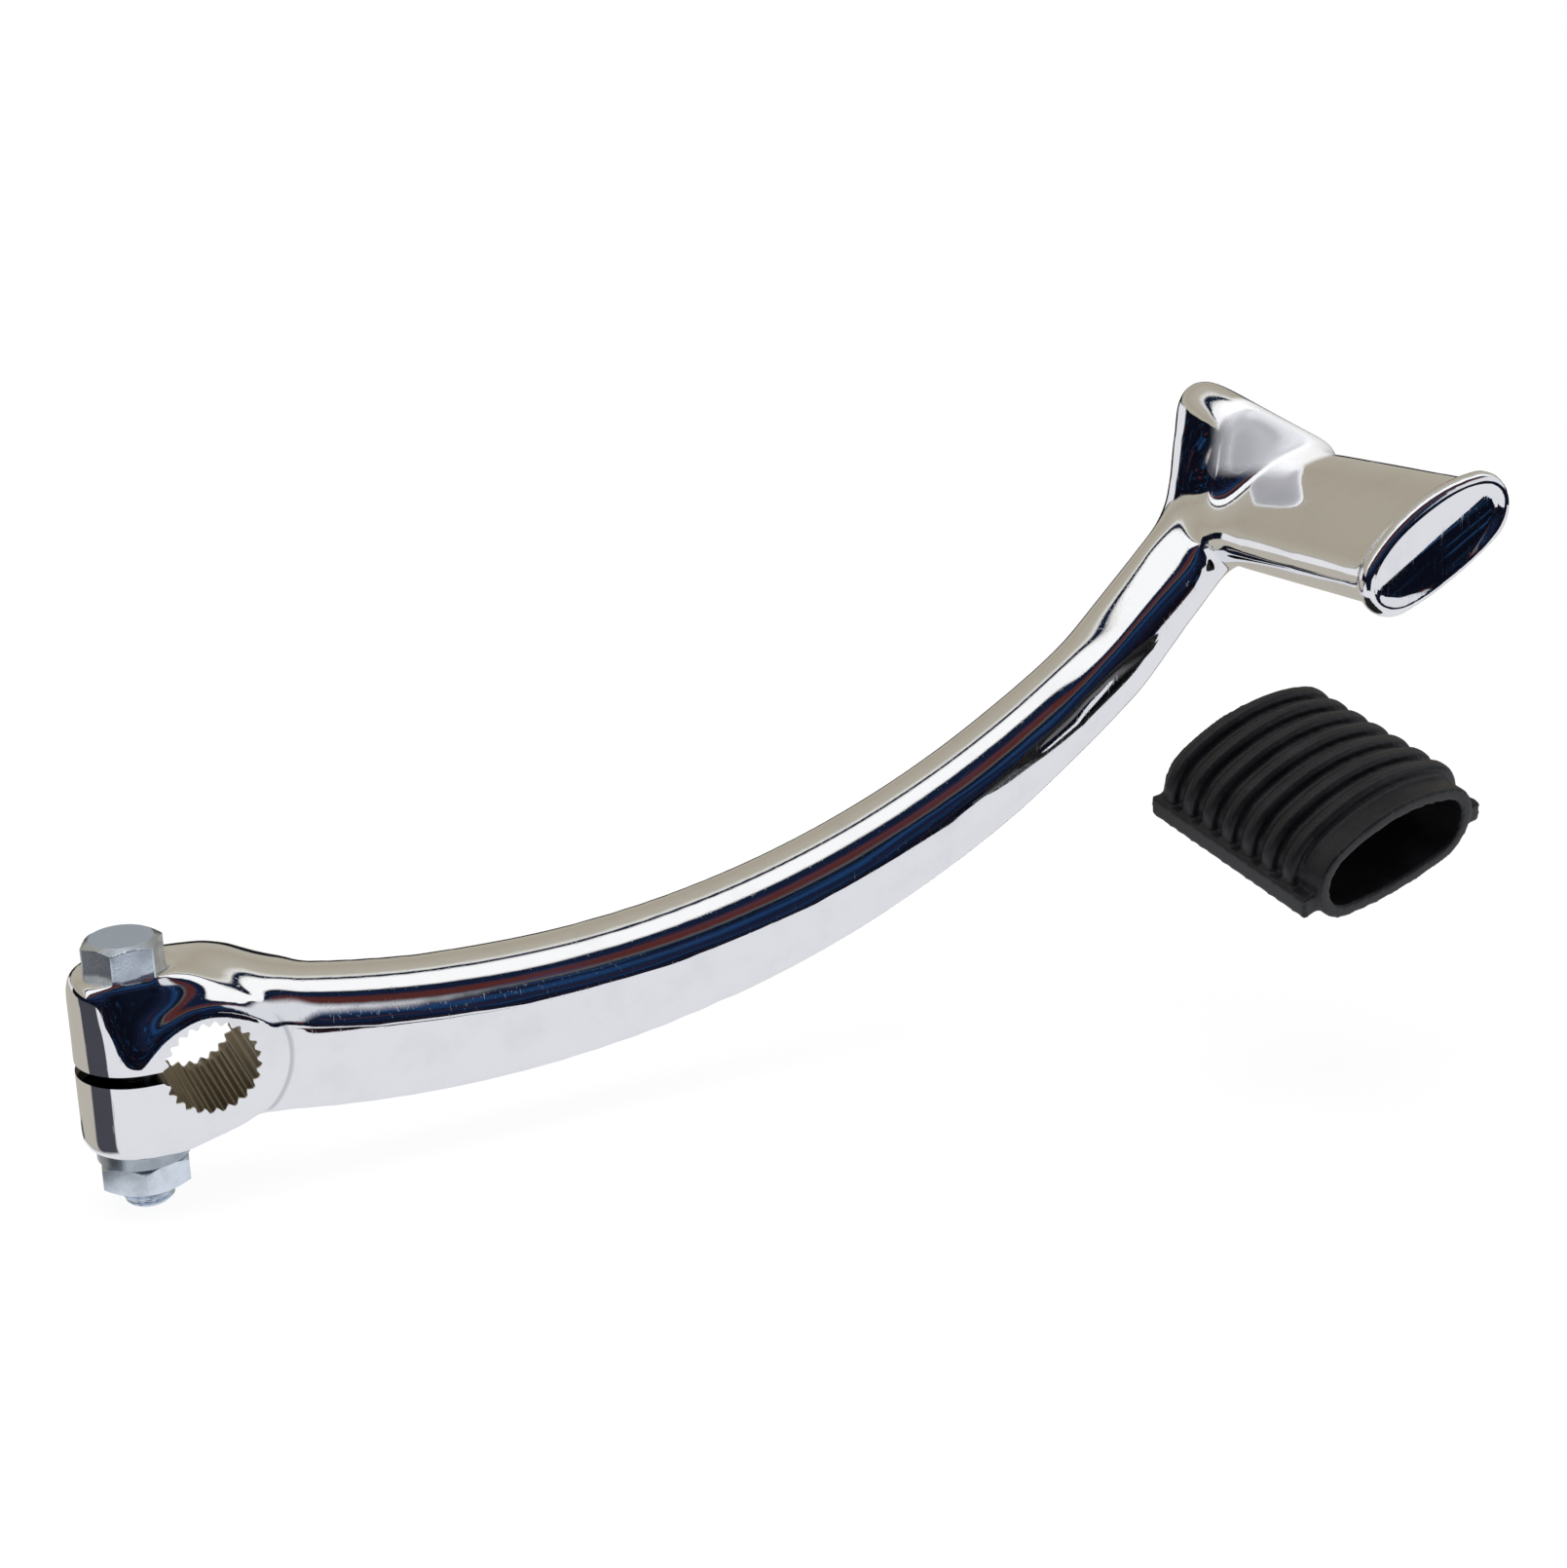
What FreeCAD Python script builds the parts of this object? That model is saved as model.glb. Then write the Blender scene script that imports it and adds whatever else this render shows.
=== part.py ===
import FreeCAD, Part
import math
import os

from FreeCAD import Vector

# Scooter kick start lever, in millimetres.
# The origin is the middle of the splined bore. The bore runs along Y, the pedal points to -Y,
# the arm leaves along +X and curves up to +Z, and the pinch bolt stands along Z.

# Splined bore
tooth_count = 24
tooth_tip_radius = 6.55
groove_depth = 1.05
groove_radius = 0.58

# Split clamp
clamp_width = 18.8
boss_radius = 12.0
lug_top = 15.0
lug_bottom = -13.8
lug_reach = 18.8
lug_top_flat_end = -1.5
lug_bottom_flat_end = -5.0
clamp_edge_radius = 2.4
lug_front_draft = 9.0
lug_back_draft = 3.0
face_radius = 10.4
slit_width = 1.8
face_proud = 0.6

# Pinch bolt, washer and nut, size M8
thread_diameter = 8.0
shank_diameter = 6.6
bolt_to_shaft_gap = 0.05
bolt_hole_clearance = 0.25
bolt_head_flats = 11.0
bolt_head_height = 5.2
bolt_end_below_nut = 3.3
nut_flats = 13.0
nut_height = 4.8
washer_diameter = 14.2
washer_thickness = 2.2
washer_bore_clearance = 0.2
washer_gap = 1.2
thread_clearance = 0.05
seat_depth = 0.25
seat_margin = 0.8
bolt_point = 0.8
head_angle = 5.0
nut_angle = 20.0
washer_cut_slant = 35.0
washer_cut_angle = 120.0
corner_share = 0.47
corner_slope = 30.0

# Arm: its middle line is one arc whose lowest point is given here
arm_arc_radius = 186.0
arm_low_x = 48.0
arm_low_z = -3.5
arm_front = -8.8
arm_thickness = 12.4
arm_lean = 1.4
arm_height_start = 22.0
arm_height_end = 13.8
arm_start_x = 9.3
arm_end_angle = 39.2
ridge_front_radius = 9.2
ridge_back_radius = 2.6
arm_low_edge_radius = 2.6

# Neck between the boss and the arm
neck_start_x = -4.0
neck_shoulder_x = 3.0
neck_shoulder_fall = 0.9
neck_end_x = 15.7
neck_low = 11.5
neck_front_radius = 10.0
neck_inset = 0.15

# Guard and pedal, placed from the arm's end; the guard's apex is measured across and out of the pedal
pedal_ahead = 30.65
pedal_above = 26.85
pedal_turn = 30.0
stub_half_width = 14.3
stub_root_narrowing = 0.6
stub_root_shift = 2.8
stub_rise = 6.9
stub_drop = 5.8
stub_end_radius = 5.0
stub_length = 42.4
bead_overhang = 1.5
bead_length = 3.4
bead_edge_radius = 1.4
bead_inner_chamfer = 1.0
base_margin = 0.9
base_step = 0.6
base_inset = 0.1
guard_start_angle = 31.6
guard_apex_across = -1.2
guard_apex_out = 27.5
guard_apex_front = 23.0
guard_side_slope = 58.8
guard_apex_radius = 5.0
guard_crook_angle = 47.5
guard_crook_radius = 14.0
guard_crook_rise = 1.0
guard_front_fall = 1.6
guard_front_crook_fall = 5.4
guard_back_crook_fall = 2.0
guard_heel_radius = 8.0
guard_front_neck_radius = 3.0
guard_back_neck_radius = 2.4
guard_thickness = 4.0
guard_edge_radius = 1.8
guard_front_edge_radius = 2.6
guard_join_tolerance = 0.01

# Pedal rubber, taken off its stub
rubber_length = 37.0
rubber_wall = 2.2
rubber_lip_width = 38.0
rubber_lip_thickness = 3.6
rubber_rib_count = 7
rubber_rib_height = 1.9
rubber_rib_width = 2.7
rubber_rib_chamfer = 0.7
rubber_rib_foot = 1.0
rubber_far_land = 1.6
rubber_collar = 2.8
rubber_lip_setback = 0.8
rubber_tread_height = 0.7
rubber_beside = -19.8
rubber_ahead = 60.35
rubber_below = 43.5
rubber_turn = 14.5
rubber_pitch = 11.5
rubber_yaw = 8.0

# Places that follow from the sizes above
bolt_x = -(tooth_tip_radius + shank_diameter / 2 + bolt_to_shaft_gap)
half_width = clamp_width / 2
head_seat = lug_top - seat_depth
washer_seat = lug_bottom + seat_depth
nut_top = washer_seat - washer_thickness
nut_bottom = nut_top - nut_height
bolt_end = nut_bottom - bolt_end_below_nut
arm_start_angle = math.degrees(math.asin((arm_start_x - arm_low_x) / arm_arc_radius))
neck_end_angle = math.degrees(math.asin((neck_end_x - arm_low_x) / arm_arc_radius))
arm_end_x = arm_low_x + arm_arc_radius * math.sin(math.radians(arm_end_angle))
arm_end_z = arm_low_z + arm_arc_radius * (1 - math.cos(math.radians(arm_end_angle)))
pedal_x = arm_end_x + pedal_ahead
pedal_z = arm_end_z + pedal_above
pedal_base = arm_front + arm_end_x * math.tan(math.radians(arm_lean)) - base_inset
guard_back = pedal_base + arm_thickness
guard_face = guard_back - guard_thickness


def unit(vector):
    """The same direction at length one."""
    return Vector(vector) / vector.Length


def rounded_wire(corners, radii):
    """A closed wire through flat corners, each rounded by its own radius."""
    count = len(corners)
    starts = []
    edges = []
    for i, corner in enumerate(corners):
        to_last = unit(corners[i - 1] - corner)
        to_next = unit(corners[(i + 1) % count] - corner)
        half_angle = to_last.getAngle(to_next) / 2
        reach = radii[i] / math.tan(half_angle)
        bisector = unit(to_last + to_next)
        centre = corner + bisector * (radii[i] / math.sin(half_angle))
        first = corner + to_last * reach
        last = corner + to_next * reach
        middle = centre - bisector * radii[i]
        starts.append((first, middle, last))
    for i, (first, middle, last) in enumerate(starts):
        edges.append(Part.Arc(first, middle, last).toShape())
        edges.append(Part.makeLine(last, starts[(i + 1) % count][0]))
    return Part.Wire(edges)


def extrude(wire, vector):
    """A solid made by pulling a closed flat wire along a vector."""
    return Part.Face(wire).extrude(vector)


def cylinder(radius, base, axis, length):
    """A solid cylinder that starts at base."""
    return Part.makeCylinder(radius, length, base, axis)


def half_moon(grow, narrow, middle, across, upward):
    """Closed half-moon of four arcs, larger than the stub's section by grow and narrower at its ends."""
    end = stub_end_radius + grow
    reach = stub_half_width - stub_end_radius - narrow
    arch = arch_radius(stub_rise, reach) + grow
    base = arch_radius(stub_drop, reach) + grow
    arch_middle = stub_rise + grow - arch
    base_middle = base - stub_drop - grow

    def at(w, n):
        return middle + across * w + upward * n

    def on_end(centre_n):
        away = math.hypot(reach, centre_n)
        return reach + end * reach / away, -end * centre_n / away

    high_w, high_n = on_end(arch_middle)
    low_w, low_n = on_end(base_middle)
    side = reach + end
    edges = [
        Part.Arc(at(high_w, high_n), at(0, stub_rise + grow), at(-high_w, high_n)).toShape(),
        Part.Arc(at(-high_w, high_n), at(-side, 0), at(-low_w, low_n)).toShape(),
        Part.Arc(at(-low_w, low_n), at(0, -stub_drop - grow), at(low_w, low_n)).toShape(),
        Part.Arc(at(low_w, low_n), at(side, 0), at(high_w, high_n)).toShape(),
    ]
    return Part.Wire(edges)


def arch_radius(height, reach):
    """Radius of the arc that is this high over the stub's middle and tangent to its round ends."""
    return (reach ** 2 + height ** 2 - stub_end_radius ** 2) / (2 * (height - stub_end_radius))


def pedal_axes():
    """Directions across the pedal and out of its arch."""
    turn = math.radians(pedal_turn)
    return Vector(math.cos(turn), 0, math.sin(turn)), Vector(-math.sin(turn), 0, math.cos(turn))


def pedal_moon(grow, y, narrow=0, shift=0):
    """The pedal's half-moon at one depth, narrower at its ends and shifted towards the arm."""
    across, upward = pedal_axes()
    middle = Vector(pedal_x, y, pedal_z) - across * shift
    return half_moon(grow, narrow, middle, across, upward)


def hexagon(flats, z, first_angle):
    """Closed hexagon about the bolt's axis."""
    radius = flats / math.sqrt(3)
    points = []
    for i in range(7):
        angle = math.radians(first_angle + 60 * i)
        points.append(Vector(bolt_x + radius * math.cos(angle), radius * math.sin(angle), z))
    return Part.makePolygon(points)


def chamfer_cone(flats, z, height, upward):
    """Cone about the bolt's axis that turns off a hexagon's corners at one end."""
    corner = flats / math.sqrt(3)
    inner = flats * corner_share
    fall = (corner - inner) * math.tan(math.radians(corner_slope))
    sign = 1 if upward else -1
    tip = Vector(bolt_x, 0, z)
    axis = Vector(0, 0, -sign)
    cone = Part.makeCone(inner, corner, fall, tip, axis)
    rest = cylinder(corner, tip + axis * fall, axis, height)
    return cone.fuse(rest)


def clamp_outline():
    """Side view of the clamp: the round boss, hulled with the lug's flat top and bottom."""
    top = Vector(lug_top_flat_end, 0, lug_top)
    bottom = Vector(lug_bottom_flat_end, 0, lug_bottom)
    top_touch = tangent_on_boss(top, -1)
    bottom_touch = tangent_on_boss(bottom, 1)
    left_top = Vector(-lug_reach - clamp_width, 0, lug_top)
    left_bottom = Vector(-lug_reach - clamp_width, 0, lug_bottom)
    edges = [
        Part.makeLine(left_bottom, left_top),
        Part.makeLine(left_top, top),
        Part.makeLine(top, top_touch),
        Part.Arc(top_touch, Vector(boss_radius, 0, 0), bottom_touch).toShape(),
        Part.makeLine(bottom_touch, bottom),
        Part.makeLine(bottom, left_bottom),
    ]
    return Part.Wire(edges)


def tangent_on_boss(point, side):
    """Where a line from the point touches the boss circle on its right side."""
    away = math.acos(boss_radius / point.Length)
    angle = math.atan2(point.z, point.x) + side * away
    return Vector(boss_radius * math.cos(angle), 0, boss_radius * math.sin(angle))


def make_clamp():
    """Clamp before its holes: the side view pulled across, with a round upright end."""
    wire = clamp_outline()
    wire.translate(Vector(0, -half_width, 0))
    block = extrude(wire, Vector(0, clamp_width, 0))
    end_x = half_width - lug_reach
    low = lug_bottom - 1
    tall = lug_top - lug_bottom + 2
    plan = cylinder(half_width, Vector(end_x, 0, low), Vector(0, 0, 1), tall)
    length = boss_radius - end_x + 1
    plan = plan.fuse(Part.makeBox(length, clamp_width, tall, Vector(end_x, -half_width, low)))
    body = block.common(plan).removeSplitter()
    rims = [edge for edge in body.Edges if is_clamp_rim(edge)]
    body = body.makeFillet(clamp_edge_radius, rims)
    return body.cut([draft_cutter(-1), draft_cutter(1)])


def draft_cutter(side):
    """Wedge that leans the upper lug's front (-1) or back (1) face in, clear of the face about the bore."""
    low = slit_width / 2
    high = lug_top + 1
    lean = (high - low) * math.tan(math.radians(lug_front_draft if side < 0 else lug_back_draft))
    start = -lug_reach - 1
    corners = [
        Vector(start, side * half_width, low),
        Vector(start, side * (half_width - lean), high),
        Vector(start, side * (half_width + 1), high),
        Vector(start, side * (half_width + 1), low),
    ]
    corners.append(corners[0])
    wedge = extrude(Part.makePolygon(corners), Vector(lug_reach + boss_radius + 2, 0, 0))
    along = Vector(0, 1, 0)
    return wedge.cut(cylinder(face_radius, along * (-half_width - 2), along, clamp_width + 4))


def is_clamp_rim(edge):
    """The edges between the clamp's side faces and its top, bottom and round end."""
    box = edge.BoundBox
    flat = box.YLength < 1e-4 and abs(abs(box.YMin) - half_width) < 1e-4
    upright = flat and box.XLength < 1e-4
    level = box.ZLength < 1e-4 and abs(box.YLength - clamp_width) < 1e-3 and box.XLength > 1
    return (flat and not upright) or level


def arm_point(angle):
    """Middle of the arm's section at an angle along its arc, and the way up there."""
    turn = math.radians(angle)
    x = arm_low_x + arm_arc_radius * math.sin(turn)
    z = arm_low_z + arm_arc_radius * (1 - math.cos(turn))
    return Vector(x, 0, z), Vector(-math.sin(turn), 0, math.cos(turn))


def arm_section(angle, front, back, low, high, radii):
    """Rounded section across the arm: low and high are measured from its middle line."""
    middle, up = arm_point(angle)
    corners = [
        middle + up * low + Vector(0, front, 0),
        middle + up * high + Vector(0, front, 0),
        middle + up * high + Vector(0, back, 0),
        middle + up * low + Vector(0, back, 0),
    ]
    return rounded_wire(corners, radii)


def arm_height(angle):
    """Height of the arm's section, which tapers evenly along the arc."""
    share = (angle - arm_start_angle) / (arm_end_angle - arm_start_angle)
    return arm_height_start + (arm_height_end - arm_height_start) * share


def arm_edge(angle, side):
    """Point on the arm's upper (1) or lower (-1) edge, on its front face."""
    middle, up = arm_point(angle)
    return middle + up * (side * arm_height(angle) / 2) + Vector(0, arm_front, 0)


def make_arm():
    """Curved arm: a side view between two arcs, pulled across, with a full round along its top."""
    first = arm_start_angle
    last = arm_end_angle
    mid = (first + last) / 2
    upper = Part.Arc(arm_edge(first, 1), arm_edge(mid, 1), arm_edge(last, 1)).toShape()
    lower = Part.Arc(arm_edge(first, -1), arm_edge(mid, -1), arm_edge(last, -1)).toShape()
    start = Part.makeLine(arm_edge(first, -1), arm_edge(first, 1))
    end = Part.makeLine(arm_edge(last, -1), arm_edge(last, 1))
    wire = Part.Wire(Part.__sortEdges__([upper, end, lower, start]))
    bar = extrude(wire, Vector(0, arm_thickness, 0))
    bar = round_long_edges(bar, arm_front, 1, ridge_front_radius)
    bar = round_long_edges(bar, arm_front + arm_thickness, 1, ridge_back_radius)
    bar = round_long_edges(bar, arm_front, -1, arm_low_edge_radius)
    bar = round_long_edges(bar, arm_front + arm_thickness, -1, arm_low_edge_radius)
    bar.rotate(Vector(), Vector(0, 0, 1), arm_lean)
    return bar


def round_long_edges(bar, y, side, radius):
    """Round one long edge of the arm, named by its depth and by upper (1) or lower (-1)."""
    probe = arm_edge((arm_start_angle + arm_end_angle) / 2, side)
    probe.y = y
    vertex = Part.Vertex(probe)
    long_edges = [edge for edge in bar.Edges if edge.distToShape(vertex)[0] < 0.01]
    return bar.makeFillet(radius, long_edges)


def arc_angle(x):
    """Angle along the arm's arc at one distance from the bore."""
    return math.degrees(math.asin((x - arm_low_x) / arm_arc_radius))


def make_neck():
    """Neck that narrows from the boss into the arm, under the clamp's top and front faces."""
    front = face_proud / 2 - half_width
    back = half_width - face_proud
    low_edge = arm_low_edge_radius
    start = arc_angle(neck_start_x)
    shoulder = arc_angle(neck_shoulder_x)
    top = lug_top - face_proud / 2
    start_rise = top - arm_point(start)[0].z
    shoulder_rise = top - neck_shoulder_fall - arm_point(shoulder)[0].z
    end_rise = arm_height(neck_end_angle) / 2 - neck_inset
    end_front = arm_front + neck_inset
    end_back = arm_front + arm_thickness - neck_inset
    boss_radii = [low_edge, neck_front_radius, clamp_edge_radius, low_edge]
    arm_radii = [low_edge, ridge_front_radius, ridge_back_radius, low_edge]
    sections = [
        arm_section(start, front, back, -neck_low, start_rise, boss_radii),
        arm_section(shoulder, front, back, -neck_low, shoulder_rise, boss_radii),
        arm_section(neck_end_angle, end_front, end_back, -end_rise, end_rise, arm_radii),
    ]
    sections[-1].rotate(Vector(), Vector(0, 0, 1), arm_lean)
    return Part.makeLoft(sections, True, False)


def guard_outline(y, heel, low, high, crook, apex_out, neck_radius):
    """Outline of the arm's flared end at one depth, around the pedal's base and up to the apex."""
    across, upward = pedal_axes()
    middle = Vector(pedal_x, 0, pedal_z)
    drop = stub_drop + base_margin
    end_reach = guard_apex_across + (guard_apex_out + drop) / math.tan(math.radians(guard_side_slope))
    apex = middle + across * guard_apex_across + upward * apex_out
    end = middle + across * end_reach - upward * drop
    start = middle - across * (stub_half_width + base_margin) - upward * drop
    corners = [heel, low, high, crook, apex, end, start]
    end_radius = stub_end_radius + base_margin
    heel_radius = guard_heel_radius
    radii = [heel_radius, neck_radius, neck_radius, guard_crook_radius]
    radii += [guard_apex_radius, end_radius, heel_radius]
    return rounded_wire([Vector(corner.x, y, corner.z) for corner in corners], radii)


def make_guard():
    """Flared end of the arm: an upright guard that grows out of the arm, its front sloping to the pedal."""
    neck, up = arm_point(guard_start_angle)
    finish, finish_up = arm_point(arm_end_angle)
    bend, bend_up = arm_point(guard_crook_angle)
    half = arm_height(guard_start_angle) / 2
    bend_half = arm_height(arm_end_angle) / 2
    heel = finish - finish_up * (bend_half + base_inset)
    low = neck - up * (half - arm_low_edge_radius)
    high = neck + up * (half - ridge_back_radius - guard_back_crook_fall)
    crook = bend + bend_up * (bend_half + guard_crook_rise)
    back = guard_outline(guard_face, heel, low, high, crook, guard_apex_out, guard_back_neck_radius)
    high_in = high - up * guard_front_fall
    crook_in = crook - bend_up * guard_front_crook_fall
    front = guard_outline(pedal_base, heel, low, high_in, crook_in, guard_apex_front, guard_front_neck_radius)
    slope = Part.makeLoft([back, front], True, True)
    front_rim = [edge for edge in slope.Edges if abs(edge.BoundBox.YMax - pedal_base) < 1e-4]
    slope = slope.makeFillet(guard_front_edge_radius, front_rim)
    plate = extrude(back, Vector(0, guard_thickness, 0))
    rim = [edge for edge in plate.Edges if abs(edge.BoundBox.YMin - guard_back) < 1e-4]
    return slope.fuse(plate.makeFillet(guard_edge_radius, rim))


def make_stub():
    """Half-moon pedal stub, wider outwards, with a low step at its root and a rounded bead at its end."""
    outward = Vector(0, -1, 0)
    end = pedal_base - stub_length
    root = (stub_root_narrowing, stub_root_shift)
    stub = Part.makeLoft([pedal_moon(0, pedal_base, *root), pedal_moon(0, end)], True, True)
    step_length = base_step + guard_face - pedal_base
    step = extrude(pedal_moon(base_margin, guard_face, *root), outward * step_length)
    bead = extrude(pedal_moon(bead_overhang, end), outward * -bead_length)
    inner = [edge for edge in moon_rims(bead) if edge.BoundBox.YMin > end + bead_length / 2]
    bead = bead.makeChamfer(bead_inner_chamfer, inner)
    outer = [edge for edge in moon_rims(bead) if edge.BoundBox.YMin < end + 1e-4]
    return [stub, step, bead.makeFillet(bead_edge_radius, outer)]


def moon_rims(shape):
    """The rim edges at both ends of a half-moon slice."""
    return [edge for edge in shape.Edges if edge.BoundBox.YLength < 1e-4]


def spline_cutter():
    """Splined bore as one solid: flat tooth tips on the bore's circle and round grooves between."""
    pitch = 2 * math.pi / tooth_count
    groove_middle = tooth_tip_radius + groove_depth - groove_radius
    reach = (groove_middle ** 2 + tooth_tip_radius ** 2 - groove_radius ** 2) / (2 * groove_middle)
    half_open = math.acos(reach / tooth_tip_radius)
    y = -half_width - 1

    def on_bore(radius, angle):
        return Vector(radius * math.cos(angle), y, radius * math.sin(angle))

    edges = []
    for i in range(tooth_count):
        middle = pitch * (i + 0.5)
        left = on_bore(tooth_tip_radius, middle - half_open)
        right = on_bore(tooth_tip_radius, middle + half_open)
        root = on_bore(tooth_tip_radius + groove_depth, middle)
        edges.append(Part.Arc(left, root, right).toShape())
        land_end = on_bore(tooth_tip_radius, middle + pitch - half_open)
        land_mid = on_bore(tooth_tip_radius, middle + pitch / 2)
        edges.append(Part.Arc(right, land_mid, land_end).toShape())
    return extrude(Part.Wire(edges), Vector(0, clamp_width + 2, 0))


def bolt_passage():
    """Bolt hole through the lug, with a shallow round seat under the head and the washer."""
    radius = thread_diameter / 2 + bolt_hole_clearance
    up = Vector(0, 0, 1)
    hole = cylinder(radius, Vector(bolt_x, 0, lug_bottom - 1), up, lug_top - lug_bottom + 2)
    head_seat_radius = bolt_head_flats / math.sqrt(3) + seat_margin
    washer_seat_radius = washer_diameter / 2 + seat_margin
    hole = hole.fuse(cylinder(head_seat_radius, Vector(bolt_x, 0, head_seat), up, seat_depth + 1))
    return hole.fuse(cylinder(washer_seat_radius, Vector(bolt_x, 0, washer_seat), -up, seat_depth + 1))


def make_lever():
    """The forging: clamp, arm, guard and pedal stub in one piece."""
    body = make_clamp().fuse(make_neck()).fuse(make_arm())
    body = body.fuse([make_guard()], guard_join_tolerance)
    body = body.fuse(make_stub())
    slit = Part.makeBox(lug_reach + 1, clamp_width + 2, slit_width,
                        Vector(-lug_reach - 1, -half_width - 1, -slit_width / 2))
    return body.cut([spline_cutter(), slit, bolt_passage()])


def make_bolt():
    """Hexagon bolt: chamfered head, plain shank through the lug and full thread size below it."""
    up = Vector(0, 0, 1)
    top = head_seat + bolt_head_height
    head = extrude(hexagon(bolt_head_flats, head_seat, head_angle), up * bolt_head_height)
    head = head.common(chamfer_cone(bolt_head_flats, top, bolt_head_height, True))
    shank = cylinder(shank_diameter / 2, Vector(bolt_x, 0, washer_seat), up, head_seat - washer_seat)
    point = bolt_point
    radius = thread_diameter / 2
    thread = cylinder(radius, Vector(bolt_x, 0, bolt_end + point), up, washer_seat - bolt_end - point)
    tip = Part.makeCone(radius - point, radius, point, Vector(bolt_x, 0, bolt_end), up)
    return head.fuse([shank, thread, tip]).removeSplitter()


def make_washer():
    """Split lock washer, cut across at a slant."""
    up = Vector(0, 0, 1)
    base = Vector(bolt_x, 0, nut_top)
    inner = thread_diameter / 2 + washer_bore_clearance
    ring = cylinder(washer_diameter / 2, base, up, washer_thickness)
    ring = ring.cut(cylinder(inner, base, up, washer_thickness))
    gap = Part.makeBox(washer_diameter, washer_gap, 4 * washer_thickness,
                       Vector(0, -washer_gap / 2, -2 * washer_thickness))
    gap.rotate(Vector(), Vector(1, 0, 0), washer_cut_slant)
    gap.rotate(Vector(), up, washer_cut_angle)
    gap.translate(base + up * washer_thickness / 2)
    return ring.cut(gap)


def make_nut():
    """Hexagon nut with both ends chamfered."""
    up = Vector(0, 0, 1)
    nut = extrude(hexagon(nut_flats, nut_bottom, nut_angle), up * nut_height)
    nut = nut.common(chamfer_cone(nut_flats, nut_top, nut_height, True))
    nut = nut.common(chamfer_cone(nut_flats, nut_bottom, nut_height, False))
    bore = thread_diameter / 2 + thread_clearance
    return nut.cut(cylinder(bore, Vector(bolt_x, 0, nut_bottom), up, nut_height))


def rubber_moon(grow, y):
    """The half-moon in the rubber's own frame, where X is across, Y along and Z out of the arch."""
    return half_moon(grow, 0, Vector(0, y, 0), Vector(1, 0, 0), Vector(0, 0, 1))


def make_rubber():
    """Moulded sleeve: half-moon tube, side lips, arched ribs over the top and a low tread below."""
    along = Vector(0, 1, 0)
    tube = extrude(rubber_moon(rubber_wall, 0), along * rubber_length)
    lip_start = rubber_lip_setback
    lips = Part.makeBox(rubber_lip_width, rubber_length - lip_start, rubber_lip_thickness,
                        Vector(-rubber_lip_width / 2, lip_start, -rubber_lip_thickness))
    pieces = [lips]
    pitch = (rubber_length - rubber_far_land - rubber_collar) / rubber_rib_count
    for i in range(rubber_rib_count):
        start = rubber_length - rubber_far_land - rubber_rib_width - pitch * i
        pieces.append(make_rib(start))
        pieces.append(make_tread(start))
    sleeve = tube.fuse(pieces)
    inside = extrude(rubber_moon(0, -1), along * (rubber_length + 2))
    return place_rubber(sleeve.cut(inside))


def make_rib(start):
    """One rib over the arch, above the lips, with its crest edges taken off."""
    ring = extrude(rubber_moon(rubber_wall + rubber_rib_height, start), Vector(0, rubber_rib_width, 0))
    ring = ring.makeChamfer(rubber_rib_chamfer, moon_rims(ring))
    foot = rubber_lip_width / 2 - rubber_rib_foot
    keep = Part.makeBox(2 * foot, rubber_rib_width, rubber_lip_width, Vector(-foot, start, 0))
    return ring.common(keep)


def make_tread(start):
    """One low bar under the flat side, below the lips."""
    ring = extrude(rubber_moon(rubber_wall + rubber_tread_height, start), Vector(0, rubber_rib_width, 0))
    wide = 2 * rubber_lip_width
    keep = Part.makeBox(wide, rubber_rib_width, wide, Vector(-wide / 2, start, -wide))
    return ring.common(keep)


def place_rubber(shape):
    """Set the rubber where it lies beside the pedal."""
    turn = FreeCAD.Rotation(Vector(0, -1, 0), rubber_turn)
    pitch = FreeCAD.Rotation(Vector(1, 0, 0), rubber_pitch)
    yaw = FreeCAD.Rotation(Vector(0, 0, 1), rubber_yaw)
    place = Vector(pedal_x + rubber_beside, pedal_base - rubber_ahead, pedal_z - rubber_below)
    shape.Placement = FreeCAD.Placement(place, yaw.multiply(pitch).multiply(turn))
    return shape


def save(shape, name):
    """Write one piece to its own file."""
    shape.exportStep("parts/" + name + ".step")
    print(name, len(shape.Solids), shape.isValid(), round(shape.Volume, 1))


os.makedirs("parts", exist_ok=True)
save(make_lever(), "lever_arm")
save(make_bolt(), "pinch_bolt")
save(make_washer(), "spring_washer")
save(make_nut(), "pinch_nut")
save(make_rubber(), "pedal_rubber")
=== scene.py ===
import math

import bmesh
import bpy
import numpy as np
from mathutils import Matrix, Vector


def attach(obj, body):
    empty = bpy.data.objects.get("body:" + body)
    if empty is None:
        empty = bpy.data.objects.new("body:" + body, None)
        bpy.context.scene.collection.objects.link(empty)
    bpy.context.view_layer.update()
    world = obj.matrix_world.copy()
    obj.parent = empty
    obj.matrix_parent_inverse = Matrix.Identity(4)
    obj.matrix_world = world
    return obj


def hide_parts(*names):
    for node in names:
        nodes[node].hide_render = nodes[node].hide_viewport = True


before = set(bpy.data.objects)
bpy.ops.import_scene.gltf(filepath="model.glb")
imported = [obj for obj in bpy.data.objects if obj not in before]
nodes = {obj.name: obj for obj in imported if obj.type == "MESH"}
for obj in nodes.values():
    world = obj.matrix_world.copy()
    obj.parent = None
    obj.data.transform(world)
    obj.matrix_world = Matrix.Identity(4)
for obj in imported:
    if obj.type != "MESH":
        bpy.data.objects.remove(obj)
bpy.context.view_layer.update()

MM = 0.001

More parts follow.
